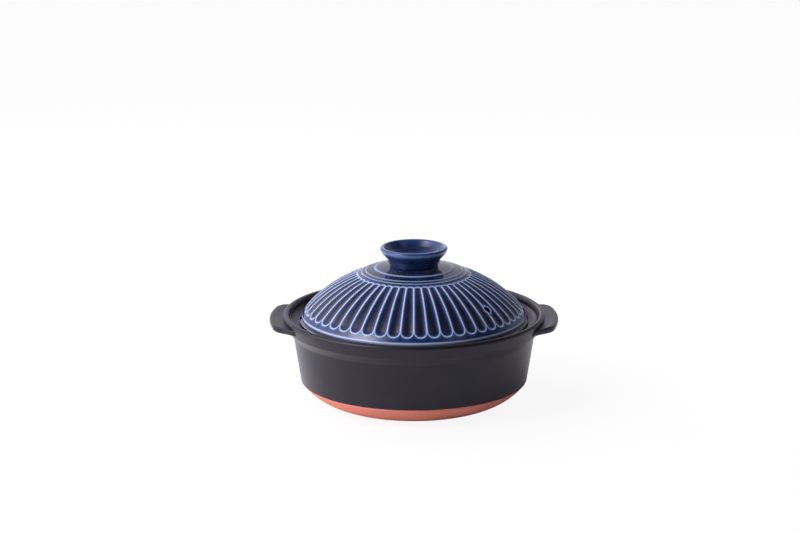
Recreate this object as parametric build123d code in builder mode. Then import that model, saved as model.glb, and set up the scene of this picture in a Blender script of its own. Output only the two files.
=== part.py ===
from build123d import *

import os
from math import asin, atan, cos, degrees, pi, radians, sin, sqrt, tan

# A donabe: a thick clay pot for the stove with two ears, and a domed lid carved with
# flutes that carries a hollow ring knob. Lengths are in millimetres and angles in degrees.
# +Z is up, the ears lie along X, and the origin is the centre of the foot, on the table.
# A slope is the angle of a surface's normal from +Z: 0 is level and faces up, 90 is upright
# and faces away from the axis, and more than 90 overhangs. Round stretches are turned as a
# few short cones each, whose count is named beside them.

# Bowl, outside, from the foot up: each reach and rise is a step from one corner to the next
foot_radius = 79.5
foot_slope = 167.3
heel_slope = 128.0
underside_curve = 56.4
underside_cone_count = 2
wall_lean = 7.6
wall_rise = 46.4
cove_reach = 6.6
cove_rise = 8.2
flange_slope = 110.0
flange_rise = 9.4
lip_radius = 3.15
lip_cone_count = 4

# Bowl, inside
seat_depth = 9.0
seat_width = 16.7
ledge_thickness = 5.0
ledge_slope_rise = 10.5
wall_thickness = 8.6
floor_thickness = 9.5
inner_corner_curve = 26.0
inner_corner_cone_count = 2

# Ears: a flat lobe with a shallow slope down to the pot's lip
ear_length = 13.1
ear_drop = 4.3
ear_thickness = 8.6
ear_root_half_width = 52.0
ear_tip_half_width = 38.0
ear_corner_rounding = 17.0
ear_top_chamfer = 1.3
ear_bottom_chamfer = 2.4
ear_dish_depth = 2.6
ear_dish_width = 14.8

# Lid: the brim that lies in the gallery, the neck over it and the rim over that
seat_clearance = 0.3
brim_clearance = 7.4
brim_seat_width = 6.0
brim_undercut = 1.6
brim_rise = 2.2
neck_inset = 2.9
neck_rise = 1.3
rim_overhang = 0.5
rim_rise = 2.9

# Lid: the dome falls from the cap in one long arc, and in a tighter one near its rim
rim_slope = 58.6
shoulder_slope = 45.0
shoulder_curve = 65.0
dome_curve = 124.8
dome_cone_count = 3
lid_thickness = 7.0
ceiling_cone_count = 2

# Lid: rings turned round the cap, from the innermost out, and the seat of the knob
cap_radius = 52.2
knob_seat_rise = 7.0
knob_seat_margin = 1.0
ring_insets = (13.5, 4.7)
ring_rises = (4.8, 2.5)
ring_step_height = 0.75
ring_step_width = 0.5
cap_edge_inset = 0.8
cap_edge_rise = 0.9

# Lid: flutes carved down the dome side by side, so that they meet in sharp ridges a little
# under its skin. The shares set a flute's depth over its half width, how far its cutter
# reaches past the ridges, and where its rounded ends narrow and by how much.
flute_count = 51
flute_top_margin = 3.3
flute_end_margin = 3.3
flute_facets = 3
ridge_drop = 0.2
flute_depth_share = 0.32
ridge_overlap_share = 0.25
flute_end_shares = ((0.8, 0.6),)

# Lid: steam hole, square to the dome
steam_hole_radius = 3.6
steam_hole_inset = 18.6
steam_hole_bearing = -39.5

# Knob: rises are heights over its seat on the cap
knob_foot_radius = 23.5
knob_neck_radius = 26.5
knob_neck_rise = 7.2
knob_flare_radius = 32.3
knob_flare_rise = 13.1
knob_rim_radius = 33.2
knob_height = 18.9
knob_rim_curve = 2.4
knob_rim_slope = 100.0
knob_rim_turn = 150.0
knob_rim_cone_count = 3
knob_hollow_depth = 11.5
knob_hollow_radius = 15.0

# One overrun for every cut
overrun = 5.0


def arc_points(centre, radius, start_slope, end_slope, cone_count):
    """Points along an arc about a centre, as the edges of the short cones it is turned in."""
    step = (end_slope - start_slope) / cone_count
    slopes = [radians(start_slope + step * index) for index in range(cone_count + 1)]
    return [(centre[0] + radius * sin(slope), centre[1] + radius * cos(slope)) for slope in slopes]


def arc_centre(point, radius, slope):
    """Centre of the arc of this radius that has this slope at a point."""
    return (point[0] - radius * sin(radians(slope)), point[1] - radius * cos(radians(slope)))


# Bowl, outside
underside_centre = arc_centre((foot_radius, 0), underside_curve, foot_slope)
underside = arc_points(underside_centre, underside_curve, foot_slope, heel_slope, underside_cone_count)
heel_radius, heel_height = underside[-1]
wall_top_radius = heel_radius + wall_lean
wall_top_height = heel_height + wall_rise
flange_radius = wall_top_radius + cove_reach
flange_height = wall_top_height + cove_rise
flange_spread = tan(radians(flange_slope - 90))
flange_top = (flange_radius + flange_rise * flange_spread, flange_height + flange_rise)
lip_centre = arc_centre(flange_top, lip_radius, flange_slope)
lip = arc_points(lip_centre, lip_radius, flange_slope, flange_slope - 180, lip_cone_count)
pot_height = lip_centre[1] + lip_radius

# Bowl, inside: the gallery's wall leans like the flange, and the inner wall like the outer
seat_height = pot_height - seat_depth
gallery_radius = lip[-1][0] - (lip[-1][1] - seat_height) * flange_spread
mouth_radius = gallery_radius - seat_width
ledge_height = seat_height - ledge_thickness
ledge_foot_height = ledge_height - ledge_slope_rise
wall_spread = wall_lean / wall_rise
wall_slope = 90 + degrees(atan(wall_spread))


def inner_wall_radius(height):
    """Distance of the inner wall from the axis at a height."""
    return heel_radius - wall_thickness + (height - heel_height) * wall_spread


corner_height = floor_thickness + inner_corner_curve * (1 + cos(radians(wall_slope)))
corner_centre = (
    inner_wall_radius(corner_height) - inner_corner_curve * sin(radians(wall_slope)),
    floor_thickness + inner_corner_curve,
)

inner_corner = arc_points(corner_centre, inner_corner_curve, wall_slope, 180, inner_corner_cone_count)

with BuildPart() as bowl:
    with BuildSketch(Plane.XZ):
        with BuildLine():
            Polyline(
                (0, 0),
                *underside,
                (wall_top_radius, wall_top_height),
                (flange_radius, flange_height),
                *lip,
                (gallery_radius, seat_height),
                (mouth_radius, seat_height),
                (mouth_radius, ledge_height),
                (inner_wall_radius(ledge_foot_height), ledge_foot_height),
                *inner_corner,
                (0, floor_thickness),
                close=True,
            )
        make_face()
    revolve(axis=Axis.Z)

# The bowl is one body of clay, glazed down to its heel: the glazed wall and the bare foot
with BuildPart() as bowl_wall:
    add(bowl.part)
    split(bisect_by=Plane.XY.offset(heel_height), keep=Keep.TOP)
bowl_wall.part.label = "bowl_wall"

with BuildPart() as bowl_foot:
    add(bowl.part)
    split(bisect_by=Plane.XY.offset(heel_height), keep=Keep.BOTTOM)
bowl_foot.part.label = "bowl_foot"

# Ears
ear_reach = lip_centre[0] + lip_radius + ear_length
ear_top = pot_height - ear_drop
ear_bottom = ear_top - ear_thickness
ear_root_radius = (flange_radius + gallery_radius) / 2
ear_root_x = sqrt(ear_root_radius**2 - ear_root_half_width**2)
ear_tip_x = sqrt(ear_reach**2 - ear_tip_half_width**2)


def from_axis(edge):
    """Distance of an edge's middle from the pot's axis."""
    return Vector(edge.center().X, edge.center().Y).length


with BuildPart() as right_handle:
    with BuildSketch(Plane.XY.offset(ear_bottom)) as ear_outline:
        with BuildLine():
            root_front = (ear_root_x, -ear_root_half_width)
            root_back = (ear_root_x, ear_root_half_width)
            tip_front = (ear_tip_x, -ear_tip_half_width)
            tip_back = (ear_tip_x, ear_tip_half_width)
            ThreePointArc(root_back, (ear_root_radius, 0), root_front)
            Line(root_front, tip_front)
            ThreePointArc(tip_front, (ear_reach, 0), tip_back)
            Line(tip_back, root_back)
        make_face()
        fillet(ear_outline.vertices().sort_by(Axis.X)[-2:], radius=ear_corner_rounding)
    extrude(amount=ear_thickness)
    chamfer(faces().sort_by(Axis.Z)[-1].edges().sort_by(from_axis)[1:], length=ear_top_chamfer)
    chamfer(faces().sort_by(Axis.Z)[0].edges().sort_by(from_axis)[1:], length=ear_bottom_chamfer)
    with BuildSketch(Plane.XZ):
        with BuildLine():
            Polyline(
                (ear_root_radius, ear_top - ear_dish_depth),
                (ear_root_radius + ear_dish_width, ear_top),
                (ear_root_radius + ear_dish_width, ear_top + overrun),
                (ear_root_radius, ear_top + overrun),
                close=True,
            )
        make_face()
    revolve(axis=Axis.Z, mode=Mode.SUBTRACT)
    add(bowl.part, mode=Mode.SUBTRACT)
right_handle.part.label = "right_handle"

with BuildPart() as left_handle:
    mirror(right_handle.part, about=Plane.YZ)
left_handle.part.label = "left_handle"

# Lid, from the brim up to the dome
lid_base = seat_height + seat_clearance
brim_radius = gallery_radius - brim_clearance
brim_foot_radius = brim_radius - brim_undercut
brim_inner_radius = brim_foot_radius - brim_seat_width
brim_height = lid_base + brim_rise
neck_radius = brim_radius - neck_inset
neck_height = brim_height + neck_rise
rim_radius = neck_radius + rim_overhang
rim_height = neck_height + rim_rise
shoulder_centre = arc_centre((rim_radius, rim_height), shoulder_curve, rim_slope)
shoulder = arc_points(shoulder_centre, shoulder_curve, shoulder_slope, rim_slope, 1)[0]
dome_centre = arc_centre(shoulder, dome_curve, shoulder_slope)


def dome_slope(distance):
    """Slope of the dome's outer skin at a distance from the axis."""
    if distance < shoulder[0]:
        return degrees(asin((distance - dome_centre[0]) / dome_curve))
    return degrees(asin((distance - shoulder_centre[0]) / shoulder_curve))


def dome_height(distance):
    """Height of the dome's outer skin at a distance from the axis."""
    slope = radians(dome_slope(distance))
    if distance < shoulder[0]:
        return dome_centre[1] + dome_curve * cos(slope)
    return shoulder_centre[1] + shoulder_curve * cos(slope)


# Between its two rounded ends a flute runs at full width, straight across each of the cones
half_width_share = tan(pi / flute_count)
flute_top_radius = cap_radius + flute_top_margin
flute_end_radius = rim_radius - flute_end_margin
top_end_length = flute_top_radius * half_width_share
full_start = flute_top_radius + top_end_length
low_end_length = flute_end_radius * half_width_share * cos(radians(shoulder_slope))
full_end = flute_end_radius - low_end_length
full_step = (full_end - full_start) / dome_cone_count
full_radii = [full_start + full_step * index for index in range(dome_cone_count + 1)]
dome_radii = [cap_radius, *full_radii, flute_end_radius, rim_radius]

cap_height = dome_height(cap_radius)
cap_slope = dome_slope(cap_radius)
knob_seat_height = cap_height + knob_seat_rise
rings = []
for ring_inset, ring_rise in zip(ring_insets, ring_rises):
    ring_radius = cap_radius - ring_inset
    ring_height = cap_height + ring_rise
    rings.append((ring_radius, ring_height))
    rings.append((ring_radius + ring_step_width, ring_height - ring_step_height))
rings.append((cap_radius - cap_edge_inset, cap_height + cap_edge_rise))

ceiling = arc_points(
    dome_centre, dome_curve - lid_thickness, cap_slope, shoulder_slope, ceiling_cone_count
)
crown_height = ceiling[0][1] + ceiling[0][0] * tan(radians(cap_slope / 2))


def extended(inner, outer, share):
    """Move the outer of two points further out along their line, by a share of its length."""
    return tuple(end + share * (end - start) for start, end in zip(inner, outer))


def flute_outline(distance, narrowing):
    """Outline across a flute's cutter: a scooped floor, and walls up past the dome."""
    half_width = distance * half_width_share * narrowing
    depth = half_width * flute_depth_share
    scoop = (half_width**2 + depth**2) / (2 * depth)
    spread = degrees(asin(half_width / scoop))
    ridge_height = dome_height(distance) - ridge_drop
    floor_centre = (0, ridge_height - depth + scoop)
    floor = arc_points(floor_centre, scoop, 180 - spread, 180 + spread, flute_facets)
    floor[0] = extended(floor[1], floor[0], ridge_overlap_share)
    floor[-1] = extended(floor[-2], floor[-1], ridge_overlap_share)
    top_height = ridge_height + overrun
    outline = [*floor, (floor[-1][0], top_height), (floor[0][0], top_height)]
    return [(distance, across, height) for across, height in outline]


flute_outlines = [flute_outline(full_radius, 1) for full_radius in full_radii]
for reach_share, width_share in flute_end_shares:
    top_reach = reach_share * top_end_length
    low_reach = reach_share * low_end_length
    flute_outlines.insert(0, flute_outline(full_start - top_reach, width_share))
    flute_outlines.append(flute_outline(full_end + low_reach, width_share))

# The outlines are alike and parallel, so every panel between two of them is flat
flute_panels = [Face(Wire.make_polygon(outline)) for outline in flute_outlines[:: len(flute_outlines) - 1]]
for near, far in zip(flute_outlines, flute_outlines[1:]):
    for index in range(len(near)):
        panel = (near[index - 1], near[index], far[index], far[index - 1])
        flute_panels.append(Face(Wire.make_polygon(panel)))

with BuildPart() as flute:
    add(Solid(Shell(flute_panels)))

hole_distance = rim_radius - steam_hole_inset
hole_slope = radians(dome_slope(hole_distance))
hole_axis = (sin(hole_slope), 0, cos(hole_slope))

with BuildPart() as steam_hole:
    with BuildSketch(Plane(origin=(hole_distance, 0, dome_height(hole_distance)), z_dir=hole_axis)):
        Circle(steam_hole_radius)
    extrude(amount=lid_thickness + overrun, both=True)

with BuildPart() as lid_dome:
    with BuildSketch(Plane.XZ):
        with BuildLine():
            Polyline(
                (0, knob_seat_height),
                (knob_foot_radius + knob_seat_margin, knob_seat_height),
                *rings,
                *[(distance, dome_height(distance)) for distance in dome_radii],
                (neck_radius, neck_height),
                (brim_radius, brim_height),
                (brim_foot_radius, lid_base),
                (brim_inner_radius, lid_base),
                *reversed(ceiling),
                (0, crown_height),
                close=True,
            )
        make_face()
    revolve(axis=Axis.Z)
    with PolarLocations(0, flute_count, start_angle=180 / flute_count - 90):
        add(flute.part, mode=Mode.SUBTRACT)
    with PolarLocations(0, 1, start_angle=steam_hole_bearing):
        add(steam_hole.part, mode=Mode.SUBTRACT)
lid_dome.part.label = "lid_dome"

# Knob
knob_top = knob_seat_height + knob_height
knob_rim_centre = (knob_rim_radius - knob_rim_curve, knob_top - knob_rim_curve)
knob_rim_end = knob_rim_slope - knob_rim_turn
knob_rim = arc_points(knob_rim_centre, knob_rim_curve, knob_rim_slope, knob_rim_end, knob_rim_cone_count)
hollow_floor = knob_top - knob_hollow_depth

with BuildPart() as lid_knob:
    with BuildSketch(Plane.XZ):
        with BuildLine():
            Polyline(
                (0, knob_seat_height),
                (knob_foot_radius, knob_seat_height),
                (knob_neck_radius, knob_seat_height + knob_neck_rise),
                (knob_flare_radius, knob_seat_height + knob_flare_rise),
                *knob_rim,
                (knob_hollow_radius, hollow_floor),
                (0, hollow_floor),
                close=True,
            )
        make_face()
    revolve(axis=Axis.Z)
lid_knob.part.label = "lid_knob"

os.makedirs("parts", exist_ok=True)
for piece in (bowl_wall, bowl_foot, left_handle, right_handle, lid_dome, lid_knob):
    export_step(piece.part, f"parts/{piece.part.label}.step")
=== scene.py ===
"""A donabe clay pot, with its pieces modelled and glazed for a studio photograph.

Every size is in millimetres and every angle in degrees until a mesh is made, which is in
metres. The origin is the centre of the foot, on the table, with +Z up and the ears along X.
A slope is the angle of a surface's normal from +Z, as in the turned pieces' CAD sizes.
"""

import logging
import math
from collections.abc import Callable, Sequence
from dataclasses import dataclass
from enum import Enum
from functools import cached_property

import bpy
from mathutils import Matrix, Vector


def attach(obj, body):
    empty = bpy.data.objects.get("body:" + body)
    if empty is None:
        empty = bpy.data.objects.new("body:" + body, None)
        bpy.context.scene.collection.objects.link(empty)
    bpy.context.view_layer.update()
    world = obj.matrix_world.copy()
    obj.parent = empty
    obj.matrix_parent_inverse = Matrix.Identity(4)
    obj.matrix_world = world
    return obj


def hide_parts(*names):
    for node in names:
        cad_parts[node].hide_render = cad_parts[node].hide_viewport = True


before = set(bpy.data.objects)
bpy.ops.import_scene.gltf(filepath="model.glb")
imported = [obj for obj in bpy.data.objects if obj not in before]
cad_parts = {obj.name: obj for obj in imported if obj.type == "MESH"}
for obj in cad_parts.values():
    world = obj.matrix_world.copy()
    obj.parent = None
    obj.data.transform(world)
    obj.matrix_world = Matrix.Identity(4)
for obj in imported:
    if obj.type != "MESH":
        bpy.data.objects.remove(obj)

LOG = logging.getLogger("donabe")
MM = 0.001
FULL_TURN = 360.0
HALF_TURN = 180.0
MERGE_DISTANCE = 1e-6

Point = tuple[float, float]
Corner = tuple[float, float, float]
Place = tuple[float, float, float]
Colour = tuple[float, float, float]

WHITE: Colour = (1.0, 1.0, 1.0)


class Body(Enum):
    """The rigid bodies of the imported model."""

    POT = "pot"
    LID = "lid"


class Slot(Enum):
    """The record's material slots."""

    BLACK = "black_glaze"
    CLAY = "bare_clay"
    NAVY = "navy_glaze"


class Paint(Enum):
    """The numbers painted on the pieces' vertices, which are 0 where nothing is painted."""

    # Pale glaze on the lid's edges; on the bowl's lip crest, thinned glaze and a painted highlight.
    BREAK = "glaze_break"
    GLOW = "glaze_glow"
    # Glaze pooled in the flutes' floors, and painted shade in the lid's neck under its rim.
    POOL = "glaze_pool"
    INSIDE = "inside"


def arc_point(centre: Point, radius: float, slope: float) -> Point:
    """The point of an arc that has this slope."""
    angle = math.radians(slope)
    return (centre[0] + radius * math.sin(angle), centre[1] + radius * math.cos(angle))


def arc(centre: Point, radius: float, start: float, end: float, steps: int) -> list[Point]:
    """Points along an arc in the plane of distance from the axis and height.

    Args:
        centre: The arc's centre.
        radius: The arc's radius.
        start: The slope at the first point.
        end: The slope at the last point.
        steps: How many equal steps the arc is cut into.

    Returns:
        One more point than there are steps.
    """
    slopes = [start + (end - start) * i / steps for i in range(steps + 1)]
    return [arc_point(centre, radius, slope) for slope in slopes]


def arc_centre(point: Point, radius: float, slope: float) -> Point:
    """The centre of the arc of this radius that has this slope at a point."""
    return arc_point(point, -radius, slope)


def rounded(corners: Sequence[Corner], steps: int) -> list[Point]:
    """An open outline whose corners are rounded.

    Args:
        corners: Distance from the axis, height and corner radius, in order.
        steps: How many steps each rounded corner is cut into.

    Returns:
        The outline's points.
    """
    points: list[Point] = []
    for i, (x, z, radius) in enumerate(corners):
        here = Vector((x, z))
        if radius == 0 or i in (0, len(corners) - 1):
            points.append((x, z))
            continue
        before = (Vector(corners[i - 1][:2]) - here).normalized()
        after = (Vector(corners[i + 1][:2]) - here).normalized()
        half = before.angle(after) / 2
        reach = radius / math.tan(half)
        start, end = here + before * reach, here + after * reach
        centre = here + (before + after).normalized() * (radius / math.sin(half))
        for k in range(steps + 1):
            chord = start.lerp(end, k / steps) - centre
            point = centre + chord.normalized() * radius
            points.append((point.x, point.y))
    return points


def refined(points: Sequence[Point], gap: float) -> list[Point]:
    """Put more points on the long straight runs of an outline.

    Args:
        points: The outline.
        gap: The longest run that is left between two points.

    Returns:
        The outline with its extra points.
    """
    finer = [points[0]]
    for start, end in zip(points, points[1:]):
        steps = max(1, math.ceil(math.dist(start, end) / gap))
        for k in range(1, steps + 1):
            share = k / steps
            finer.append(
                (start[0] + (end[0] - start[0]) * share, start[1] + (end[1] - start[1]) * share)
            )
    return finer


def smoothstep(low: float, high: float, value: float) -> float:
    """0 below low, 1 above high, and a smooth rise between them."""
    share = min(1.0, max(0.0, (value - low) / (high - low)))
    return share * share * (3 - 2 * share)


def pick(piece: bpy.types.Object) -> None:
    """Make a piece the active one, and the only one that is selected.

    Args:
        piece: The piece.
    """
    bpy.ops.object.select_all(action="DESELECT")
    bpy.context.view_layer.objects.active = piece
    piece.select_set(True)


def twin(piece: bpy.types.Object, name: str) -> bpy.types.Object:
    """Copy a piece, with a mesh of its own.

    Args:
        piece: The piece.
        name: The copy's name.

    Returns:
        The copy.
    """
    pick(piece)
    bpy.ops.object.duplicate()
    copy = bpy.context.object
    copy.name = name
    copy.data.name = name
    return copy


def turn(angle: float) -> None:
    """Turn what is selected in edit mode round the pot's axis.

    Args:
        angle: How far it goes, clockwise from above.
    """
    bpy.ops.transform.rotate(
        value=math.radians(angle),
        orient_axis="Z",
        orient_type="GLOBAL",
        center_override=(0, 0, 0),
    )


class Mould:
    """A new piece under way in edit mode: it is drawn, swept and finished."""

    def __init__(self, name: str) -> None:
        """Start from a small plane whose corners are merged into one vertex.

        Args:
            name: The piece's name.
        """
        bpy.ops.object.select_all(action="DESELECT")
        bpy.ops.mesh.primitive_plane_add(size=MM)
        self.piece: bpy.types.Object = bpy.context.object
        self.piece.name = name
        self.piece.data.name = name
        bpy.ops.object.mode_set(mode="EDIT")
        bpy.ops.mesh.select_all(action="SELECT")
        bpy.ops.mesh.merge(type="CENTER")

    def draw(self, points: Sequence[Point], closed: bool = False) -> None:
        """Draw an outline in the XZ plane by extruding one vertex from point to point.

        Args:
            points: Distance from the axis and height of each point.
            closed: Whether the last point is joined to the first.
        """
        places = [Vector((x, 0, z)) * MM for x, z in points]
        bpy.ops.transform.translate(value=places[0])
        for start, end in zip(places, places[1:]):
            bpy.ops.mesh.extrude_vertices_move(TRANSFORM_OT_translate={"value": end - start})
        bpy.ops.mesh.select_all(action="SELECT")
        if closed:
            bpy.ops.mesh.edge_face_add()
            bpy.ops.mesh.delete(type="ONLY_FACE")
            bpy.ops.mesh.select_all(action="SELECT")

    def sweep(self, steps: int, angle: float = FULL_TURN) -> None:
        """Spin the outline round the pot's axis, and close the ends of a part turn.

        Args:
            steps: How many steps the sweep is cut into.
            angle: How far it goes, clockwise from above.
        """
        bpy.ops.mesh.spin(
            steps=steps,
            angle=math.radians(angle),
            use_auto_merge=True,
            center=(0, 0, 0),
            axis=(0, 0, 1),
        )
        if angle < FULL_TURN:
            bpy.ops.mesh.select_all(action="DESELECT")
            bpy.ops.mesh.select_non_manifold()
            bpy.ops.mesh.edge_face_add()

    def finish(self, smooth_angle: float) -> bpy.types.Object:
        """Merge seams and poles, point the faces outwards and shade the piece smooth.

        Args:
            smooth_angle: Edges sharper than this stay sharp.

        Returns:
            The finished piece.
        """
        bpy.ops.mesh.select_all(action="SELECT")
        bpy.ops.mesh.remove_doubles(threshold=MERGE_DISTANCE)
        bpy.ops.mesh.normals_make_consistent(inside=False)
        bpy.ops.object.mode_set(mode="OBJECT")
        bpy.ops.object.shade_smooth_by_angle(angle=math.radians(smooth_angle))
        return self.piece


def turned(name: str, outline: Sequence[Point], steps: int, smooth: float) -> bpy.types.Object:
    """Turn a piece as on a wheel.

    Args:
        name: The piece's name.
        outline: Its outline, which starts and ends on the axis.
        steps: How many steps the turn is cut into.
        smooth: Edges sharper than this angle stay sharp.

    Returns:
        The piece.
    """
    mould = Mould(name)
    mould.draw(outline)
    mould.sweep(steps)
    return mould.finish(smooth)


def paint(piece: bpy.types.Object, kind: Paint, value: Callable[[Vector], float]) -> None:
    """Write a number on every vertex.

    Args:
        piece: The piece.
        kind: What the number says.
        value: Gives the number at a place in millimetres.
    """
    numbers = [value(vertex.co / MM) for vertex in piece.data.vertices]
    attribute = piece.data.attributes.new(kind.value, "FLOAT", "POINT")
    attribute.data.foreach_set("value", numbers)


class Value:
    """A socket that reads like a number in a Python expression."""

    def __init__(self, tree: "Tree", socket: bpy.types.NodeSocket) -> None:
        """Wrap an output socket of a node tree."""
        self.tree = tree
        self.socket = socket

    def _math(self, operation: str, *inputs: "Value | float", clamp: bool = False) -> "Value":
        """Add a Math node."""
        settings = {"operation": operation, "use_clamp": clamp}
        return self.tree.node("ShaderNodeMath", settings, dict(enumerate(inputs)))

    def __add__(self, other: "Value | float") -> "Value":
        """Add."""
        return self._math("ADD", self, other)

    def __sub__(self, other: "Value | float") -> "Value":
        """Subtract."""
        return self._math("SUBTRACT", self, other)

    def __rsub__(self, other: "Value | float") -> "Value":
        """Subtract this from a number."""
        return self._math("SUBTRACT", other, self)

    def __mul__(self, other: "Value | float") -> "Value":
        """Multiply."""
        return self._math("MULTIPLY", self, other)

    __radd__ = __add__
    __rmul__ = __mul__

    def clamped(self) -> "Value":
        """Keep the value from 0 to 1."""
        return self._math("ADD", self, 0.0, clamp=True)

    def power(self, exponent: float) -> "Value":
        """Raise to a power."""
        return self._math("POWER", self, exponent)

    def step(self, low: float, high: float) -> "Value":
        """Turn the value into a smooth rise from 0 to 1.

        Args:
            low: The value that becomes 0.
            high: The value that becomes 1.

        Returns:
            The rise.
        """
        settings = {"interpolation_type": "SMOOTHSTEP"}
        inputs = {"Value": self, "From Min": low, "From Max": high}
        return self.tree.node("ShaderNodeMapRange", settings, inputs, output="Result")


class Tree:
    """A node tree, built up by method calls."""

    def __init__(self, tree: bpy.types.NodeTree) -> None:
        """Wrap a node tree."""
        self.tree = tree

    def node(
        self,
        kind: str,
        settings: dict[str, object] | None = None,
        inputs: dict[str | int, object] | None = None,
        output: str | int = 0,
    ) -> Value:
        """Add a node.

        Args:
            kind: The node's type.
            settings: Its properties, set first.
            inputs: Its sockets' values or links, by name or number.
            output: The socket to hand back.

        Returns:
            The chosen output.
        """
        node = self.tree.nodes.new(kind)
        for key, value in (settings or {}).items():
            setattr(node, key, value)
        for key, value in (inputs or {}).items():
            self.link(node.inputs[key], value)
        return Value(self, node.outputs[output])

    def link(self, socket: bpy.types.NodeSocket, value: object) -> None:
        """Link a socket to a value, or set it to a plain number, vector or colour.

        Args:
            socket: The socket.
            value: The value.
        """
        if isinstance(value, Value):
            self.tree.links.new(value.socket, socket)
        elif isinstance(value, tuple) and len(value) == 3 and socket.type == "RGBA":
            socket.default_value = (*value, 1.0)
        else:
            socket.default_value = value


class Shader(Tree):
    """One material's node tree."""

    def __init__(self, name: str, **constants: float | Colour) -> None:
        """Make a material whose Principled shader has these settings.

        Args:
            name: The material's name.
            **constants: Values of the shader's sockets, with _ for a space.
        """
        self.material = bpy.data.materials.new(name)
        self.material.use_nodes = True
        super().__init__(self.material.node_tree)
        self.principled = self.tree.nodes["Principled BSDF"]
        for key, value in constants.items():
            socket = key.replace("_", " ").title().replace("Ior", "IOR")
            self.link(self.principled.inputs[socket], value)

    def feed(self, name: str, value: Value) -> None:
        """Link a value to one of the Principled shader's sockets."""
        self.link(self.principled.inputs[name], value)

    def place(self) -> Value:
        """The place on the piece, in metres."""
        return self.node("ShaderNodeTexCoord", output="Object")

    def height(self) -> Value:
        """The height over the table, in metres."""
        return self.node("ShaderNodeSeparateXYZ", None, {0: self.place()}, output="Z")

    def painted(self, kind: Paint) -> Value:
        """A number that was painted on the piece's vertices."""
        return self.node("ShaderNodeAttribute", {"attribute_name": kind.value}, output="Fac")

    def noise(self, size: float, detail: float = 2.0, roughness: float = 0.5) -> Value:
        """Cloudy noise from 0 to 1.

        Args:
            size: The size of its larger blots, in millimetres.
            detail: How many finer layers it has.
            roughness: How strong those are.

        Returns:
            The noise.
        """
        inputs = {
            "Vector": self.place(),
            "Scale": 1 / (size * MM),
            "Detail": detail,
            "Roughness": roughness,
        }
        return self.node("ShaderNodeTexNoise", None, inputs)

    def mix(self, share: Value, start: Value | Colour, end: Value | Colour) -> Value:
        """Mix two colours, from start at 0 to end at 1."""
        inputs = {"Factor": share, 6: start, 7: end}
        return self.node("ShaderNodeMix", {"data_type": "RGBA"}, inputs, output=2)

    def bump(self, height: Value, depth: float) -> None:
        """Raise the surface by a height from 0 to 1 times a depth in millimetres."""
        inputs = {"Height": height, "Distance": depth * MM, "Strength": 1.0}
        self.feed("Normal", self.node("ShaderNodeBump", None, inputs))


@dataclass(frozen=True)
class NavyGlaze:
    """Blue glaze, pale where it runs off edges, dark where it pools, with painted shade in the
    neck.
    """

    name: str = "navy_glaze"
    blue: Colour = (0.0055, 0.0130, 0.0480)
    deep: Colour = (0.0030, 0.0055, 0.0170)
    # Pooled glaze in the flutes, and painted shade in the neck under the rim.
    pooled_and_shaded: Colour = (0.0035, 0.0038, 0.0065)
    glow: Colour = (0.022, 0.066, 0.215)
    steady_glow: float = 0.75
    broken: Colour = (0.400, 0.480, 0.660)
    roughness: float = 0.07
    cloud_size: float = 14.0
    cloud_range: Point = (0.35, 0.65)
    ripple_size: float = 9.0
    ripple_detail: float = 1.0
    ripple_depth: float = 0.05

    def material(self) -> bpy.types.Material:
        """Build the glaze from what is painted on the piece.

        Returns:
            The material.
        """
        shader = Shader(self.name, roughness=self.roughness)
        clouds = shader.noise(self.cloud_size).step(*self.cloud_range)
        halo = shader.painted(Paint.GLOW) * (self.steady_glow + (1 - self.steady_glow) * clouds)
        body = shader.mix(clouds, self.deep, self.blue)
        # Pooled glaze in the flutes, and painted shade in the lid's neck.
        body = shader.mix(shader.painted(Paint.POOL), body, self.pooled_and_shaded)
        body = shader.mix(halo.clamped(), body, self.glow)
        edge = shader.painted(Paint.BREAK).clamped()
        shader.feed("Base Color", shader.mix(edge, body, self.broken))
        shader.bump(shader.noise(self.ripple_size, self.ripple_detail), self.ripple_depth)
        return shader.material


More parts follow.
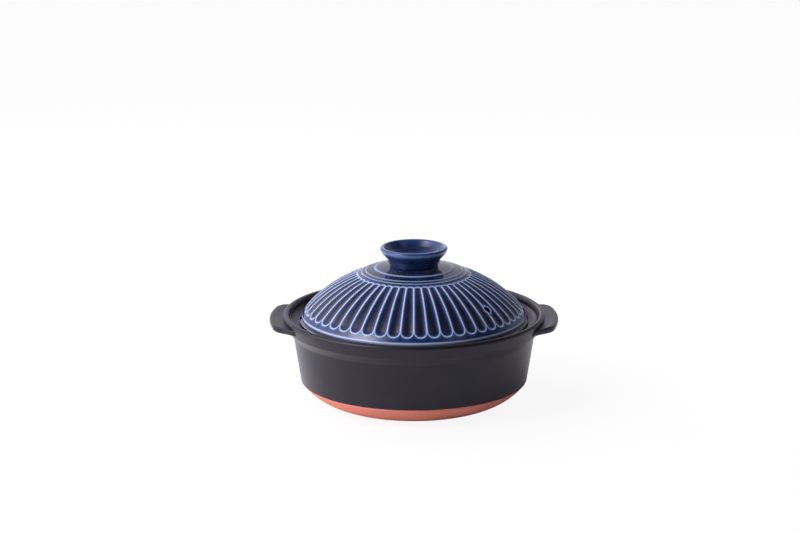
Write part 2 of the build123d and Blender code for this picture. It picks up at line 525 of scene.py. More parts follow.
@dataclass(frozen=True)
class BlackGlaze:
    """Satin black glaze, thinner and browner on edges, a painted highlight on the lip, bare clay
    near the foot.
    """

    name: str = "black_glaze"
    black: Colour = (0.0072, 0.0064, 0.0098)
    worn: Colour = (0.0100, 0.0088, 0.0132)
    worn_range: Point = (0.4, 0.7)
    # Brown of thinned glaze on the lip's crest, which is also a painted highlight there.
    thinned_and_highlight: Colour = (0.090, 0.068, 0.052)
    tint: Colour = (0.92, 0.86, 1.00)
    satin: float = 0.33
    satin_spread: float = 0.06
    shine: float = 0.34
    cloud_size: float = 22.0
    clay: Colour = (0.600, 0.178, 0.114)
    clay_pale: Colour = (0.680, 0.250, 0.180)
    pale_range: Point = (0.35, 0.7)
    clay_roughness: float = 0.85
    grain_size: float = 0.9
    grain_detail: float = 3.0
    grain_roughness: float = 0.6
    grain_depth: float = 0.05
    clay_speck: Colour = (0.300, 0.095, 0.060)
    speck_size: float = 1.1
    speck_detail: float = 2.0
    speck_roughness: float = 0.7
    speck_range: Point = (0.66, 0.74)
    speck_share: float = 0.7
    glaze_line: float = 20.6
    line_wander: float = 0.6
    line_softness: float = 0.2

    def material(self) -> bpy.types.Material:
        """Build the glaze, with the bare clay below the glaze line.

        Returns:
            The material.
        """
        shader = Shader(self.name, specular_ior_level=self.shine, specular_tint=self.tint)
        clouds = shader.noise(self.cloud_size)
        grain = shader.noise(self.grain_size, self.grain_detail, self.grain_roughness)
        specks = shader.noise(self.speck_size, self.speck_detail, self.speck_roughness)
        glaze = shader.mix(clouds.step(*self.worn_range), self.black, self.worn)
        # Thinned glaze and a painted highlight along the lip's crest.
        glaze = shader.mix(shader.painted(Paint.BREAK).clamped(), glaze, self.thinned_and_highlight)
        clay = shader.mix(grain.step(*self.pale_range), self.clay, self.clay_pale)
        specks = specks.step(*self.speck_range) * self.speck_share
        clay = shader.mix(specks, clay, self.clay_speck)
        glazed = (self.over_line(shader, clouds) + shader.painted(Paint.INSIDE)).clamped()
        shader.feed("Base Color", shader.mix(glazed, clay, glaze))
        satin = self.satin + (clouds - 0.5) * self.satin_spread
        shader.feed("Roughness", self.clay_roughness + glazed * (satin - self.clay_roughness))
        shader.bump(grain, self.grain_depth)
        return shader.material

    def over_line(self, shader: Shader, clouds: Value) -> Value:
        """1 over the glaze line and 0 under it.

        Args:
            shader: The glaze's shader.
            clouds: Noise that the line wanders with.

        Returns:
            The share of glaze.
        """
        wander = (clouds - 0.5) * (2 * self.line_wander * MM)
        line, softness = self.glaze_line * MM, self.line_softness * MM
        return (shader.height() + wander).step(line - softness, line + softness)


@dataclass(frozen=True)
class Bowl:
    """The pot: a turned bowl with a flange, a beaded lip and a gallery for the lid."""

    foot_row: float = 40.0
    foot_radius: float = 79.5
    foot_slope: float = 167.3
    heel_slope: float = 128.0
    underside_curve: float = 56.4
    underside_steps: int = 14
    glaze_thickness: float = 0.3
    glaze_rounds: Point = (0.15, 0.6)
    heel_rise: float = 1.2
    wall_top: Point = (119.1, 66.7)
    cove_round: float = 6.0
    flange_foot: Point = (125.6, 74.9)
    flange_round: float = 2.0
    flange_slope: float = 110.0
    lip_centre: Point = (126.15, 85.3)
    lip_radius: float = 3.02
    lip_steps: int = 14
    crest_slope: float = -28.0
    crest_width: float = 0.55
    gallery_radius: float = 120.75
    gallery_round: float = 7.5
    seat_height: float = 79.5
    mouth_radius: float = 104.0
    mouth_round: float = 1.5
    ledge_height: float = 74.5
    ledge_foot: Point = (110.1, 64.0)
    ledge_round: float = 5.0
    inner_corner: Point = (104.8, 29.0)
    floor_radius: float = 101.0
    floor_height: float = 9.5
    floor_round: float = 16.0
    floor_steps: int = 12
    floor_margin: float = 10.0
    floor_slack: float = 1.0
    skin_depth: float = 3.0
    corner_steps: int = 6
    steps: int = 256
    smooth_angle: float = 50.0

    @cached_property
    def underside_centre(self) -> Point:
        """The centre of the arc under the bowl."""
        return arc_centre((self.foot_radius, 0), self.underside_curve, self.foot_slope)

    @cached_property
    def heel(self) -> Point:
        """The end of the underside's arc, where the wall starts."""
        return arc_point(self.underside_centre, self.underside_curve, self.heel_slope)

    def outline(self) -> list[Point]:
        """The bowl's outline, from the centre of the foot round to that of the floor.

        Returns:
            The points, which start and end on the axis.
        """
        slopes = (self.foot_slope, self.heel_slope)
        curve, glaze = self.underside_curve, self.glaze_thickness
        underside = arc(self.underside_centre, curve, *slopes, self.underside_steps)
        lip_end = self.flange_slope - HALF_TURN
        lip = arc(self.lip_centre, self.lip_radius, self.flange_slope, lip_end, self.lip_steps)
        side = rounded(
            [
                (*self.heel, 0),
                (self.heel[0] + glaze, self.heel[1] + glaze / 2, self.glaze_rounds[0]),
                (self.heel[0] + glaze * 2, self.heel[1] + self.heel_rise, self.glaze_rounds[1]),
                (*self.wall_top, self.cove_round),
                (*self.flange_foot, self.flange_round),
                (*lip[0], 0),
            ],
            self.corner_steps,
        )
        inside = rounded(
            [
                (*lip[-1], 0),
                (self.gallery_radius, self.seat_height, self.gallery_round),
                (self.mouth_radius, self.seat_height, self.mouth_round),
                (self.mouth_radius, self.ledge_height, self.mouth_round),
                (*self.ledge_foot, self.ledge_round),
                (*self.inner_corner, 0),
            ],
            self.corner_steps,
        )
        floor = rounded(
            [
                (*self.inner_corner, 0),
                (self.floor_radius, self.floor_height, self.floor_round),
                (0, self.floor_height, 0),
            ],
            self.floor_steps,
        )
        foot = [(0, 0), (self.foot_row, 0)]
        return [*foot, *underside[:-1], *side[:-1], *lip, *inside[1:], *floor[1:]]

    def cut(self, piece: bpy.types.Object, keep_top: bool) -> None:
        """Cut the bowl level at its heel, keep one side and close the cut.

        Args:
            piece: The bowl.
            keep_top: Whether the part above the cut is kept.
        """
        pick(piece)
        bpy.ops.object.mode_set(mode="EDIT")
        bpy.ops.mesh.select_all(action="SELECT")
        bpy.ops.mesh.bisect(
            plane_co=(0, 0, self.heel[1] * MM),
            plane_no=(0, 0, 1),
            clear_inner=keep_top,
            clear_outer=not keep_top,
        )
        bpy.ops.mesh.select_all(action="DESELECT")
        bpy.ops.mesh.select_non_manifold()
        bpy.ops.mesh.bridge_edge_loops()
        bpy.ops.object.mode_set(mode="OBJECT")

    def crest(self, place: Vector) -> float:
        """How far the glaze thins on the lip's inner crest, where a painted highlight also lies.

        Args:
            place: The place, in millimetres.

        Returns:
            A share from 0 to 1.
        """
        crest = arc_point(self.lip_centre, self.lip_radius, self.crest_slope)
        gap = math.dist((math.hypot(place.x, place.y), place.z), crest)
        return math.exp(-((gap / self.crest_width) ** 2))

    def inside(self, place: Vector) -> float:
        """Whether a place is on the bowl's inside.

        Args:
            place: The place, in millimetres.

        Returns:
            1 on the inside, and 0 on the underside and the wall.
        """
        if place.z < self.floor_height - self.floor_slack:
            return 0.0
        distance = math.hypot(place.x, place.y)
        depth = self.underside_curve - math.dist((distance, place.z), self.underside_centre)
        over_floor = distance < self.foot_radius + self.floor_margin
        return float(over_floor or depth > self.skin_depth)

    def build(self, glaze: bpy.types.Material) -> tuple[bpy.types.Object, bpy.types.Object]:
        """Turn the bowl, copy it, cut both at the heel as the CAD is, and glaze them.

        Args:
            glaze: The pot's glaze.

        Returns:
            The wall and the foot.
        """
        wall = turned("donabe_wall", self.outline(), self.steps, self.smooth_angle)
        foot = twin(wall, "donabe_foot")
        self.cut(wall, keep_top=True)
        self.cut(foot, keep_top=False)
        for piece in (wall, foot):
            paint(piece, Paint.INSIDE, self.inside)
            # Thinned glaze and a painted highlight along the lip's inner crest.
            paint(piece, Paint.BREAK, self.crest)
            piece.data.materials.append(glaze)
        return wall, foot


@dataclass(frozen=True)
class Ears:
    """The two ears: a lobe swept round the pot's side, with a dished top and a round nose."""

    reach: float = 142.4
    root: float = 121.5
    top: float = 84.1
    tip_bottom: float = 77.9
    root_bottom: float = 73.9
    nose_top_round: float = 1.5
    nose_bottom_round: float = 4.4
    nose_length: float = 6.0
    dish_depth: float = 1.1
    dish_width: float = 16.0
    dish_margins: Point = (1.0, 0.5)
    root_rise: float = 1.6
    root_power: int = 5
    root_reach: float = 127.0
    root_angle: float = 24.0
    half_angle: float = 31.0
    side_lean: float = 1.35
    lean_angle: float = 15.0
    corner_angle: float = 16.0
    corner_softness: float = 5.0
    corner_steps: int = 6
    row_gap: float = 2.0
    steps: int = 84
    smooth_angle: float = 60.0

    def nose_reach(self, bearing: float) -> float:
        """How far the ear's nose is from the pot's axis at a bearing from its middle.

        Args:
            bearing: The bearing.

        Returns:
            The distance.
        """
        off = abs(bearing)
        low = self.corner_angle - self.corner_softness
        high = self.corner_angle + self.corner_softness
        lean = max(0.0, off - self.lean_angle) * self.side_lean
        reach = self.reach - lean * smoothstep(low, high, off)
        tail = smoothstep(self.root_angle, self.half_angle, off)
        return reach + (self.root_reach - reach) * tail

    def section(self) -> list[Point]:
        """The ear's closed outline across its middle, from the root's top outwards.

        Returns:
            The points.
        """
        corners = [
            (self.root, self.top, 0),
            (self.reach, self.top, self.nose_top_round),
            (self.reach, self.tip_bottom, self.nose_bottom_round),
            (self.root, self.root_bottom, 0),
        ]
        return refined(rounded(corners, self.corner_steps), self.row_gap)

    def fit(self, piece: bpy.types.Object) -> None:
        """Draw the swept ear in to its plan, and dish its top.

        No operator moves each ring of vertices by its own reach, so this goes by formula.

        Args:
            piece: The swept ear, at +X.
        """
        low, high = self.tip_bottom + self.dish_margins[0], self.top - self.dish_margins[1]
        for vertex in piece.data.vertices:
            x, y, z = vertex.co / MM
            distance = math.hypot(x, y)
            angle = math.atan2(y, x)
            length = self.nose_reach(math.degrees(angle)) - self.root
            nose = min(self.nose_length, length / 2)
            from_tip = self.reach - distance
            if from_tip < self.nose_length:
                distance = self.root + length - from_tip * nose / self.nose_length
            else:
                share = (distance - self.root) / (self.reach - self.root - self.nose_length)
                distance = self.root + (length - nose) * share
            share = max(0.0, 1 - (distance - self.root) / self.dish_width)
            dish = self.dish_depth * 4 * share * (1 - share)
            z += (self.root_rise * share**self.root_power - dish) * smoothstep(low, high, z)
            vertex.co = Vector((distance * math.cos(angle), distance * math.sin(angle), z)) * MM

    def build(self, glaze: bpy.types.Material) -> tuple[bpy.types.Object, bpy.types.Object]:
        """Model one ear at +X, copy it, and turn the first round to -X.

        Args:
            glaze: The pot's glaze.

        Returns:
            The left ear and the right ear.
        """
        mould = Mould("donabe_ear_left")
        mould.draw(self.section(), closed=True)
        turn(-self.half_angle)
        mould.sweep(self.steps, 2 * self.half_angle)
        left = mould.finish(self.smooth_angle)
        self.fit(left)
        left.data.materials.append(glaze)
        right = twin(left, "donabe_ear_right")
        pick(left)
        bpy.ops.object.mode_set(mode="EDIT")
        bpy.ops.mesh.select_all(action="SELECT")
        turn(HALF_TURN)
        bpy.ops.object.mode_set(mode="OBJECT")
        return left, right


@dataclass(frozen=True)
class LidDome:
    """The lid: a turned dome with rings round its cap and flutes scooped down its side."""

    seat_height: float = 79.85
    brim_radius: float = 113.2
    brim_height: float = 82.0
    brim_round: float = 0.6
    brim_foot: float = 111.8
    brim_inner: float = 105.8
    brim_inner_round: float = 0.8
    neck: Point = (110.3, 83.3)
    neck_margins: Point = (0.5, 0.35)
    neck_inset: float = 0.4
    rim: Point = (110.75, 86.1)
    rim_round: float = 0.5
    rim_slope: float = 58.6
    rim_margin: float = 0.6
    shoulder_curve: float = 65.0
    shoulder_slope: float = 45.0
    dome_curve: float = 124.8
    thickness: float = 7.0
    ceiling_foot: Point = (96.6, 93.4)
    ceiling_slope: float = 18.4
    ceiling_steps: int = 8
    crown: tuple[Point, ...] = ((26.0, 128.0), (0.0, 129.8))
    cap_radius: float = 52.2
    cap_margin: float = 0.6
    cap_row_gap: float = 3.0
    knob_seat: Corner = (24.5, 135.5, 2.0)
    rings: tuple[Point, ...] = ((38.7, 133.25), (47.5, 130.95), (51.4, 129.4))
    ring_step: float = 0.7
    ring_round: float = 0.35
    ring_zone: float = 4.0
    ring_row_gap: float = 1.0
    flute_count: int = 51
    flute_top: float = 55.4
    flute_end: float = 107.3
    depth_share: float = 0.30
    ridge_width: float = 0.5
    end_power: float = 2.5
    top_reach: float = 0.8
    end_reach: float = 0.85
    end_zone: Point = (3.2, 6.5)
    end_row_gap: float = 0.45
    row_gap: float = 1.9
    drift: float = 2.7
    drift_passes: int = 4
    columns: int = 14
    crowding: float = 0.45
    corner_steps: int = 2
    smooth_angle: float = 70.0
    skin_margin: float = 1.0
    bare_depth: float = 0.3
    line_width: float = 0.42
    rim_line: float = 0.5
    halo_width: float = 1.5
    pool_range: Point = (0.7, 2.2)
    ring_glow: float = 0.35
    ring_break: float = 0.55
    hole_pivot: float = 12.85
    hole_distance: float = 92.0
    hole_bearing: float = -39.5
    hole_radius: float = 3.9
    hole_taper: float = 0.2
    hole_depth: float = 24.0
    hole_steps: int = 48
    hole_loops: tuple[float, ...] = (0.8, 1.8, 2.8)
    hole_lip: float = 0.5
    hole_margin: float = 0.1

    @cached_property
    def shoulder_centre(self) -> Point:
        """The centre of the shoulder's arc, which ends at the rim."""
        return arc_centre(self.rim, self.shoulder_curve, self.rim_slope)

    @cached_property
    def meeting(self) -> Point:
        """The point where the dome's arc and the shoulder's meet."""
        return arc_point(self.shoulder_centre, self.shoulder_curve, self.shoulder_slope)

    @cached_property
    def dome_centre(self) -> Point:
        """The centre of the dome's arc."""
        return arc_centre(self.meeting, self.dome_curve, self.shoulder_slope)

    def skin_height(self, distance: float) -> float:
        """Height of the dome's skin, with no flutes.

        Args:
            distance: Distance from the axis.

        Returns:
            The height.
        """
        centre, curve = self.dome_centre, self.dome_curve
        if distance > self.meeting[0]:
            centre, curve = self.shoulder_centre, self.shoulder_curve
        return centre[1] + math.sqrt(curve**2 - (distance - centre[0]) ** 2)

    def outline(self) -> list[Point]:
        """The lid's outline, from the middle of its cap round to that of its ceiling.

        Returns:
            The points, which start and end on the axis.
        """
        cap = [(0, self.knob_seat[1], 0), self.knob_seat]
        for radius, height in self.rings:
            cap.append((radius, height, self.ring_round))
            cap.append((radius + self.ring_step, height - self.ring_step, self.ring_round))
        cap_end = self.cap_radius + self.cap_margin
        cap.append((cap_end, self.skin_height(cap_end), 0))
        points = self.cap_rows(rounded(cap, self.corner_steps))
        points += self.dome_rows(cap_end)
        rim = rounded(
            [
                (*points[-1], 0),
                (*self.rim, self.rim_round),
                (*self.neck, self.rim_round),
                (self.brim_radius, self.brim_height, self.brim_round),
                (self.brim_foot, self.seat_height, self.rim_round),
                (self.brim_inner, self.seat_height, self.brim_inner_round),
                (*self.ceiling_foot, 0),
            ],
            self.corner_steps,
        )
        slopes = (self.shoulder_slope, self.ceiling_slope)
        inner_curve = self.dome_curve - self.thickness
        ceiling = arc(self.dome_centre, inner_curve, *slopes, self.ceiling_steps)
        return [*points, *rim[1:], *ceiling[1:], *self.crown]

    def cap_rows(self, points: Sequence[Point]) -> list[Point]:
        """Put rows on the cap, close together near its rings.

        Args:
            points: The cap's outline.

        Returns:
            The outline with its extra rows.
        """
        rows = [points[0]]
        for start, end in zip(points, points[1:]):
            to_ring = min(abs(start[0] - radius) for radius, _ in self.rings)
            near = to_ring < self.ring_zone or start[0] > self.rings[1][0]
            rows += refined([start, end], self.ring_row_gap if near else self.cap_row_gap)[1:]
        return rows

    def dome_rows(self, start: float) -> list[Point]:
        """Put rows down the dome, close together at both ends of the flutes.

        Args:
            start: Distance of the cap's last row from the axis.

        Returns:
            The rows after that one, down to just short of the rim.
        """
        rows: list[Point] = []
        distance = start
        while True:
            slope = math.atan2(distance - self.dome_centre[0], self.dome_curve)
            top_zone = distance < self.flute_top + self.end_zone[0]
            low_zone = distance > self.flute_end - self.end_zone[1]
            gap = self.end_row_gap if top_zone or low_zone else self.row_gap
            distance += gap * math.cos(slope)
            if distance > self.rim[0] - self.rim_margin:
                return rows
            rows.append((distance, self.skin_height(distance)))

    def flute(self, place: Vector) -> tuple[float, float]:
        """How a place on the dome lies in its flute.

        Args:
            place: The place, in millimetres.

        Returns:
            The scoop's depth there, and the distance to the scoop's edge, which is less
            than 0 inside the scoop.
        """
        distance = math.hypot(place.x, place.y)
        half = distance * math.tan(math.pi / self.flute_count)
        scoop = half - self.ridge_width / 2
        middle = (self.flute_top + self.flute_end) / 2
        reach = scoop * (self.top_reach if distance < middle else self.end_reach)
        into_top = self.flute_top + reach - distance
        into_end = distance - self.flute_end + reach
        along = max(into_top, into_end, 0.0)
        across = abs(self.across(place)) * half
        power = self.end_power
        share = ((across / scoop) ** power + (along / reach) ** power) ** (1 / power)
        if share < MERGE_DISTANCE:
            return self.depth_share * scoop, -scoop
        gap = math.hypot(across, along) * (1 - 1 / share)
        return max(0.0, self.depth_share * scoop * (1 - share**2)), gap

    def across(self, place: Vector) -> float:
        """How far a place is from the middle of its flute.

        Args:
            place: The place, in millimetres.

        Returns:
            0 in the middle, and 1 or -1 on the ridges.
        """
        bearing = math.degrees(math.atan2(place.x, -place.y))
        bearing += self.drift * (1 - math.cos(math.radians(bearing)))
        turns = bearing * self.flute_count / FULL_TURN
        return 2 * (turns - math.floor(turns) - 0.5)

    def crowd(self, piece: bpy.types.Object) -> None:
        """Crowd the columns of vertices towards the ridges, and let the ridges drift.

        No operator moves each column round by its own angle, so this goes by formula.

        Args:
            piece: The turned lid.
        """
        pitch = FULL_TURN / self.flute_count
        for vertex in piece.data.vertices:
            x, y = vertex.co.x, vertex.co.y
            distance = math.hypot(x, y)
            if distance < MERGE_DISTANCE:
                continue
            turns = math.degrees(math.atan2(x, -y)) / pitch
            share = turns - math.floor(turns + 0.5)
            turns -= self.crowding * math.sin(math.tau * share) / math.tau
            even = turns * pitch
            bearing = even
            for _ in range(self.drift_passes):
                bearing = even - self.drift * (1 - math.cos(math.radians(bearing)))
            angle = math.radians(bearing)
            vertex.co.x = distance * math.sin(angle)
            vertex.co.y = -distance * math.cos(angle)

    def carve(self, piece: bpy.types.Object) -> None:
        """Press the flutes into the dome with a Displace modifier weighted by their depth.

        Args:
            piece: The turned lid.
        """
        deepest = self.depth_share * self.flute_end * math.pi / self.flute_count
        group = piece.vertex_groups.new(name="flutes")
        for vertex in piece.data.vertices:
            place = vertex.co / MM
            distance = math.hypot(place.x, place.y)
            if not self.flute_top < distance < self.flute_end:
                continue
            if place.z < self.skin_height(distance) - self.skin_margin:
                continue
            depth = self.flute(place)[0]
            if depth > 0:
                group.add([vertex.index], depth / deepest, "REPLACE")
        press = piece.modifiers.new("flutes", "DISPLACE")
        press.vertex_group = group.name
        press.direction = "Z"
        press.mid_level = 0
        press.strength = -deepest * MM
        bpy.ops.object.modifier_apply(modifier=press.name)

    @cached_property
    def hole(self) -> tuple[Vector, Vector, Place]:
        """Where the steam hole is.

        Returns:
            Its middle on the skin, its axis, and its axis as turns about X, Y and Z.
        """
        slope = math.asin((self.hole_distance - self.hole_pivot) / self.dome_curve)
        bearing = math.radians(self.hole_bearing)
        outwards = Vector((math.cos(bearing), math.sin(bearing), 0))
        centre = outwards * self.hole_distance
        centre.z = self.skin_height(self.hole_distance)
        axis = outwards * math.sin(slope) + Vector((0, 0, math.cos(slope)))
        return centre, axis, (0, slope, bearing)

    def bore(self, piece: bpy.types.Object) -> None:
        """Cut the steam hole square to the dome, with loops of vertices down its wall.

        Args:
            piece: The carved lid.
        """
        centre, axis, turns = self.hole
        bpy.ops.object.select_all(action="DESELECT")
        bpy.ops.mesh.primitive_cone_add(
            vertices=self.hole_steps,
            radius1=(self.hole_radius - self.hole_taper) * MM,
            radius2=(self.hole_radius + self.hole_taper) * MM,
            depth=self.hole_depth * MM,
            location=centre * MM,
            rotation=turns,
        )
        cutter = bpy.context.object
        bpy.ops.object.mode_set(mode="EDIT")
        for depth in self.hole_loops:
            bpy.ops.mesh.select_all(action="SELECT")
            bpy.ops.mesh.bisect(plane_co=(centre - axis * depth) * MM, plane_no=axis)
        bpy.ops.object.mode_set(mode="OBJECT")
        pick(piece)
        cut = piece.modifiers.new("steam_hole", "BOOLEAN")
        cut.operation = "DIFFERENCE"
        cut.solver = "EXACT"
        cut.object = cutter
        bpy.ops.object.modifier_apply(modifier=cut.name)
        bpy.data.objects.remove(cutter, do_unlink=True)

    def edge_gap(self, place: Vector) -> float:
        """Distance from a place to the nearest sharp edge of the lid's outside.

        Args:
            place: The place, in millimetres.

        Returns:
            The distance, in millimetres.
        """
        distance = math.hypot(place.x, place.y)
        gaps = [math.hypot(distance - r, place.z - z) for r, z in self.rings]
        for edge in (self.rim, (self.brim_radius, self.brim_height)):
            gaps.append(max(0.0, math.dist((distance, place.z), edge) - self.rim_line))
        if self.cap_radius < distance and place.z > self.rim[1]:
            gaps.append(abs(self.flute(place)[1]))
        return min(gaps)

    def hole_gap(self, place: Vector) -> float:
        """Distance from a place to the steam hole's edge, in millimetres."""
        return abs((place - self.hole[0]).length - self.hole_radius - self.hole_lip)

    def under_skin(self, place: Vector) -> bool:
        """Whether a place is on the steam hole's wall or inside the lid.

        Args:
            place: The place, in millimetres.

        Returns:
            Whether it is.
        """
        distance = math.hypot(place.x, place.y)
        if not self.cap_radius < distance < self.flute_end or place.z < self.rim[1]:
            return False
        return self.skin_height(distance) - self.flute(place)[0] - place.z > self.bare_depth

    def in_neck(self, place: Vector) -> bool:
        """Whether a place is in the groove between the rim and the brim's edge.

        Args:
            place: The place, in millimetres.

        Returns:
            Whether it is.
        """
        low, high = self.brim_height - self.neck_margins[0], self.rim[1] - self.neck_margins[1]
        inset = math.hypot(place.x, place.y) < self.brim_radius - self.neck_inset
        return inset and low < place.z < high

    def thin_gap(self, place: Vector) -> float:
        """Distance from a place to where the glaze thins.

        Args:
            place: The place, in millimetres.

        Returns:
            The distance, in millimetres, which is endless in the neck and under the skin.
        """
        # The neck gets no pale glaze, so its painted shade stays dark.
        if self.under_skin(place) or self.in_neck(place):
            return math.inf
        return min(self.edge_gap(place), self.hole_gap(place))

    def on_cap(self, place: Vector, share: float) -> float:
        """A share on the cap, and 1 further down."""
        return share if math.hypot(place.x, place.y) < self.cap_radius else 1.0

    def edge(self, place: Vector) -> float:
        """How far the glaze has run off a place.

        Args:
            place: The place, in millimetres.

        Returns:
            A share from 0 to 1.
        """
        if (place - self.hole[0]).length < self.hole_radius + self.hole_margin:
            return 0.0
        line = math.exp(-((self.thin_gap(place) / self.line_width) ** 2))
        return self.on_cap(place, self.ring_break) * line

    def halo(self, place: Vector) -> float:
        """How blue the glaze is round its thin places, from 0 to 1."""
        halo = math.exp(-self.thin_gap(place) / self.halo_width)
        return self.on_cap(place, self.ring_glow) * halo

    def pool_and_shade(self, place: Vector) -> float:
        """How thick the glaze lies in a flute's floor, and painted shade in the neck under the
        rim's overhang.

        Args:
            place: The place, in millimetres.

        Returns:
            A share from 0 to 1.
        """
        # Painted shade: the neck under the rim's overhang is painted fully dark.
        if self.in_neck(place):
            return 1.0
        if math.hypot(place.x, place.y) < self.cap_radius or place.z < self.rim[1]:
            return 0.0
        return smoothstep(*self.pool_range, -self.flute(place)[1])

    def build(self, glaze: bpy.types.Material) -> bpy.types.Object:
        """Turn, carve, bore and glaze the lid.

        Args:
            glaze: The lid's glaze.

        Returns:
            The piece.
        """
        steps = self.flute_count * self.columns
        piece = turned("donabe_lid", self.outline(), steps, self.smooth_angle)
        self.crowd(piece)
        self.carve(piece)
        self.bore(piece)
        paint(piece, Paint.BREAK, self.edge)
        paint(piece, Paint.GLOW, self.halo)
        # Pooled glaze in the flutes, and painted shade in the neck.
        paint(piece, Paint.POOL, self.pool_and_shade)
        bpy.ops.object.shade_smooth_by_angle(angle=math.radians(self.smooth_angle))
        piece.data.materials.append(glaze)
        return piece


@dataclass(frozen=True)
class LidKnob:
    """The knob: a hollow ring with a waist and a rolled lip, thrown on its own."""

    seat: float = 135.6
    foot_radius: float = 23.5
    foot_round: float = 0.6
    foot_edge: Corner = (24.2, 1.8, 0.6)
    waist: Corner = (25.0, 3.4, 1.0)
    neck: Corner = (26.4, 7.3, 3.0)
    flare: Corner = (32.0, 13.2, 1.4)
    height: float = 18.85
    rim_radius: float = 33.1
    rim_curve: float = 2.4
    rim_slopes: Point = (96.0, -60.0)
    rim_steps: int = 12
    hollow: tuple[Corner, ...] = ((24.4, 12.6, 6.0), (17.0, 8.0, 8.0))
    hollow_rise: float = 7.4
    side_steps: int = 5
    hollow_steps: int = 8
    steps: int = 192
    smooth_angle: float = 60.0
    top_edge: float = 30.6
    side_edge: float = 15.6
    edge_break: float = 0.35
    line_width: float = 0.8
    edge_glow: float = 0.8
    halo_width: float = 2.6
    body_glow: float = 0.20

    def outline(self) -> list[Point]:
        """The knob's outline, from the middle of its foot round to that of its hollow.

        Returns:
            The points, which start and end on the axis.
        """
        rim_centre = (self.rim_radius - self.rim_curve, self.height - self.rim_curve)
        rim = arc(rim_centre, self.rim_curve, *self.rim_slopes, self.rim_steps)
        foot = (self.foot_radius, 0, self.foot_round)
        shaft = (self.foot_edge, self.waist, self.neck, self.flare)
        side = rounded([(0, 0, 0), foot, *shaft, (*rim[0], 0)], self.side_steps)
        inside = rounded([(*rim[-1], 0), *self.hollow, (0, self.hollow_rise, 0)], self.hollow_steps)
        points = [*side[:-1], *rim, *inside[1:]]
        return [(radius, self.seat + rise) for radius, rise in points]

    def edge_gap(self, place: Vector) -> float:
        """Distance from a place to the nearest edge where the glaze thins.

        Args:
            place: The place, in millimetres.

        Returns:
            The distance, in millimetres.
        """
        distance, rise = math.hypot(place.x, place.y), place.z - self.seat
        edges = ((self.top_edge, self.height), (self.rim_radius, self.side_edge))
        return min(math.hypot(distance - r, rise - z) for r, z in edges)

    def edge(self, place: Vector) -> float:
        """How far the glaze has run off a place, from 0 to 1."""
        return self.edge_break * math.exp(-((self.edge_gap(place) / self.line_width) ** 2))

    def halo(self, place: Vector) -> float:
        """How blue the glaze is at a place, from 0 to 1."""
        return self.edge_glow * math.exp(-self.edge_gap(place) / self.halo_width) + self.body_glow

    def build(self, glaze: bpy.types.Material) -> bpy.types.Object:
        """Turn the knob and glaze it.

        Args:
            glaze: The lid's glaze.

        Returns:
            The piece.
        """
        piece = turned("donabe_knob", self.outline(), self.steps, self.smooth_angle)
        paint(piece, Paint.BREAK, self.edge)
        paint(piece, Paint.GLOW, self.halo)
        piece.data.materials.append(glaze)
        return piece


@dataclass(frozen=True)
class Softbox:
    """One lamp of the studio: a lit panel that faces the pot, placed and sized in metres."""

    name: str
    place: Place
    size: Point
    power: float

    def build(self, target: Vector) -> None:
        """Hang the panel and turn it to the target.

        Args:
            target: Where it faces, in metres.
        """
        lamp = bpy.data.lights.new(self.name, "AREA")
        lamp.shape = "RECTANGLE"
        lamp.size, lamp.size_y = self.size
        lamp.energy = self.power
        holder = bpy.data.objects.new(self.name, lamp)
        holder.location = self.place
        holder.visible_glossy = False
        holder.rotation_euler = (target - Vector(self.place)).to_track_quat("-Z", "Y").to_euler()
        bpy.context.scene.collection.objects.link(holder)


@dataclass(frozen=True)
class Glow:
    """A soft patch of light in the room, with no edge that a glaze could mirror."""

    towards: Place
    level: float
    tightness: float

    def light(self, tree: Tree, direction: Value) -> Value:
        """The patch's light in a direction.

        Args:
            tree: The room's node tree.
            direction: The direction that is looked in.

        Returns:
            The light.
        """
        inputs = {0: direction, 1: tuple(Vector(self.towards).normalized())}
        facing = tree.node("ShaderNodeVectorMath", {"operation": "DOT_PRODUCT"}, inputs, "Value")
        return (facing * 0.5 + 0.5).power(self.tightness) * self.level


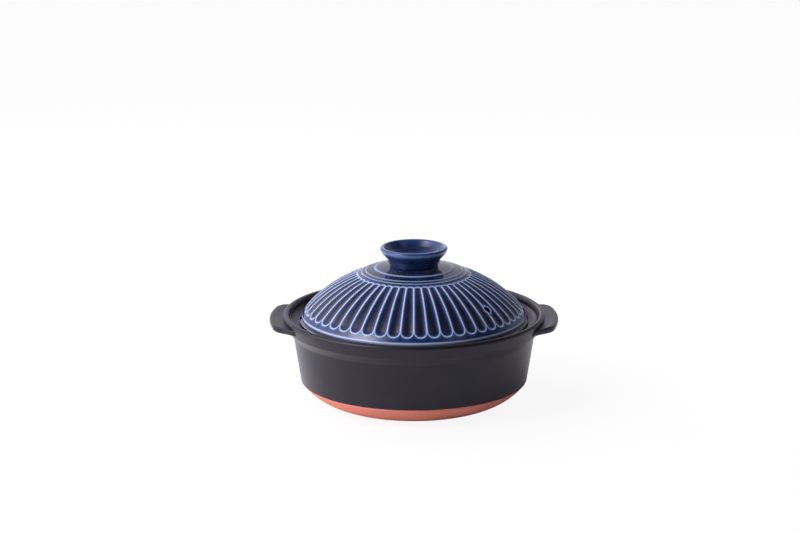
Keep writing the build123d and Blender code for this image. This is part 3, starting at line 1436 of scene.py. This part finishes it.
@dataclass(frozen=True)
class Studio:
    """The white table and backdrop, the lamps, and the camera of the photograph."""

    target_height: float = 75.0
    camera_distance: float = 2500.0
    camera_elevation: float = 15.4
    pixels_per_mm: float = 1.011
    image_width: float = 800.0
    image_centre: Point = (400.0, 266.5)
    target_pixel: Point = (413.95, 324.35)
    sensor: float = 36.0
    table_size: float = 6000.0
    table_colour: Colour = (0.80, 0.80, 0.80)
    table_roughness: float = 0.6
    table_white: float = 0.9
    room_tint: Colour = (0.95, 0.92, 1.06)
    front_level: float = 0.07
    back_level: float = 0.80
    back_range: Point = (0.20, 1.00)
    right_range: Point = (0.0, 0.5)
    right_loss: float = 0.6
    glows: tuple[Glow, ...] = (
        Glow((-0.67, -0.36, 0.66), 9.0, 60.0),
        Glow((-0.96, -0.10, 0.25), 3.0, 9.0),
        Glow((-0.35, 0.88, 0.32), 0.8, 120.0),
        Glow((0.90, 0.42, 0.10), 0.5, 30.0),
        Glow((0.50, -0.30, 0.81), 0.5, 90.0),
    )
    lamps: tuple[Softbox, ...] = (
        Softbox("overhead", (-0.9, 0.3, 1.7), (1.4, 1.4), 15.0),
        Softbox("low_left", (-1.0, -0.7, 0.55), (0.7, 0.5), 4.5),
        Softbox("low_back_left", (-1.1, 0.8, 0.5), (0.6, 0.5), 7.0),
        Softbox("low_back_right", (1.1, 0.9, 0.5), (0.6, 0.5), 7.0),
    )

    def camera(self) -> None:
        """Place the camera where the photograph was taken from."""
        data = bpy.data.cameras.new("camera")
        data.sensor_width = self.sensor
        data.lens = self.pixels_per_mm * self.camera_distance * self.sensor / self.image_width
        data.shift_x = (self.image_centre[0] - self.target_pixel[0]) / self.image_width
        data.shift_y = (self.target_pixel[1] - self.image_centre[1]) / self.image_width
        camera = bpy.data.objects.new("camera", data)
        tilt = math.radians(self.camera_elevation)
        away = Vector((0, -math.cos(tilt), math.sin(tilt))) * self.camera_distance
        camera.location = (Vector((0, 0, self.target_height)) + away) * MM
        camera.rotation_euler = (math.pi / 2 - tilt, 0, 0)
        bpy.context.scene.collection.objects.link(camera)
        bpy.context.scene.camera = camera

    def table(self) -> None:
        """Lay the table, which the camera sees as white, with the pot's shadow on it."""
        bpy.ops.object.select_all(action="DESELECT")
        bpy.ops.mesh.primitive_plane_add(size=self.table_size * MM)
        table = bpy.context.object
        table.name = "table"
        shader = Shader("table", base_color=self.table_colour, roughness=self.table_roughness)
        white = shader.node("ShaderNodeEmission", None, {"Color": WHITE})
        seen = shader.node("ShaderNodeLightPath", output="Is Camera Ray")
        plain = Value(shader, shader.principled.outputs[0])
        inputs = {0: seen * self.table_white, 1: plain, 2: white}
        mixed = shader.node("ShaderNodeMixShader", None, inputs)
        shader.link(shader.tree.nodes["Material Output"].inputs["Surface"], mixed)
        table.data.materials.append(shader.material)

    def room(self) -> None:
        """Light the room from behind and by its glows, and show it white to the camera."""
        world = bpy.data.worlds.new("room")
        bpy.context.scene.world = world
        world.use_nodes = True
        tree = Tree(world.node_tree)
        direction = tree.node("ShaderNodeTexCoord", output="Generated")
        behind = tree.node("ShaderNodeSeparateXYZ", None, {0: direction}, "Y")
        rightwards = tree.node("ShaderNodeSeparateXYZ", None, {0: direction}, "X")
        dimmed = 1.0 - rightwards.step(*self.right_range) * self.right_loss
        level = behind.step(*self.back_range) * dimmed * (self.back_level - self.front_level)
        level = level + self.front_level
        for glow in self.glows:
            level = level + glow.light(tree, direction)
        inputs = {"Color": self.room_tint, "Strength": level}
        lit = tree.node("ShaderNodeBackground", None, inputs)
        white = tree.node("ShaderNodeBackground", None, {"Color": WHITE})
        seen = tree.node("ShaderNodeLightPath", output="Is Camera Ray")
        mixed = tree.node("ShaderNodeMixShader", None, {0: seen, 1: lit, 2: white})
        tree.link(world.node_tree.nodes["World Output"].inputs["Surface"], mixed)

    def build(self) -> None:
        """Set up the whole studio."""
        self.camera()
        self.table()
        self.room()
        for lamp in self.lamps:
            lamp.build(Vector((0, 0, self.target_height * MM)))
        bpy.context.scene.view_settings.view_transform = "Standard"


def install(piece: bpy.types.Object, node: str, body: Body) -> None:
    """Put a finished piece in the place of its CAD node.

    Args:
        piece: The piece.
        node: The CAD node that it stands for.
        body: The body that it moves with.
    """
    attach(piece, body.value)
    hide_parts(node)
    LOG.info("%s stands for %s, with %d faces", piece.name, node, len(piece.data.polygons))


def main() -> None:
    """Model, glaze and light the pot."""
    logging.basicConfig(level=logging.INFO)
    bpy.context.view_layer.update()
    Studio().build()
    black = BlackGlaze().material()
    navy = NavyGlaze().material()
    wall, foot = Bowl().build(black)
    left_ear, right_ear = Ears().build(black)
    install(wall, "bowl_wall", Body.POT)
    install(foot, "bowl_foot", Body.POT)
    install(left_ear, "left_handle", Body.POT)
    install(right_ear, "right_handle", Body.POT)
    install(LidDome().build(navy), "lid_dome", Body.LID)
    install(LidKnob().build(navy), "lid_knob", Body.LID)


if __name__ == "__main__":
    main()
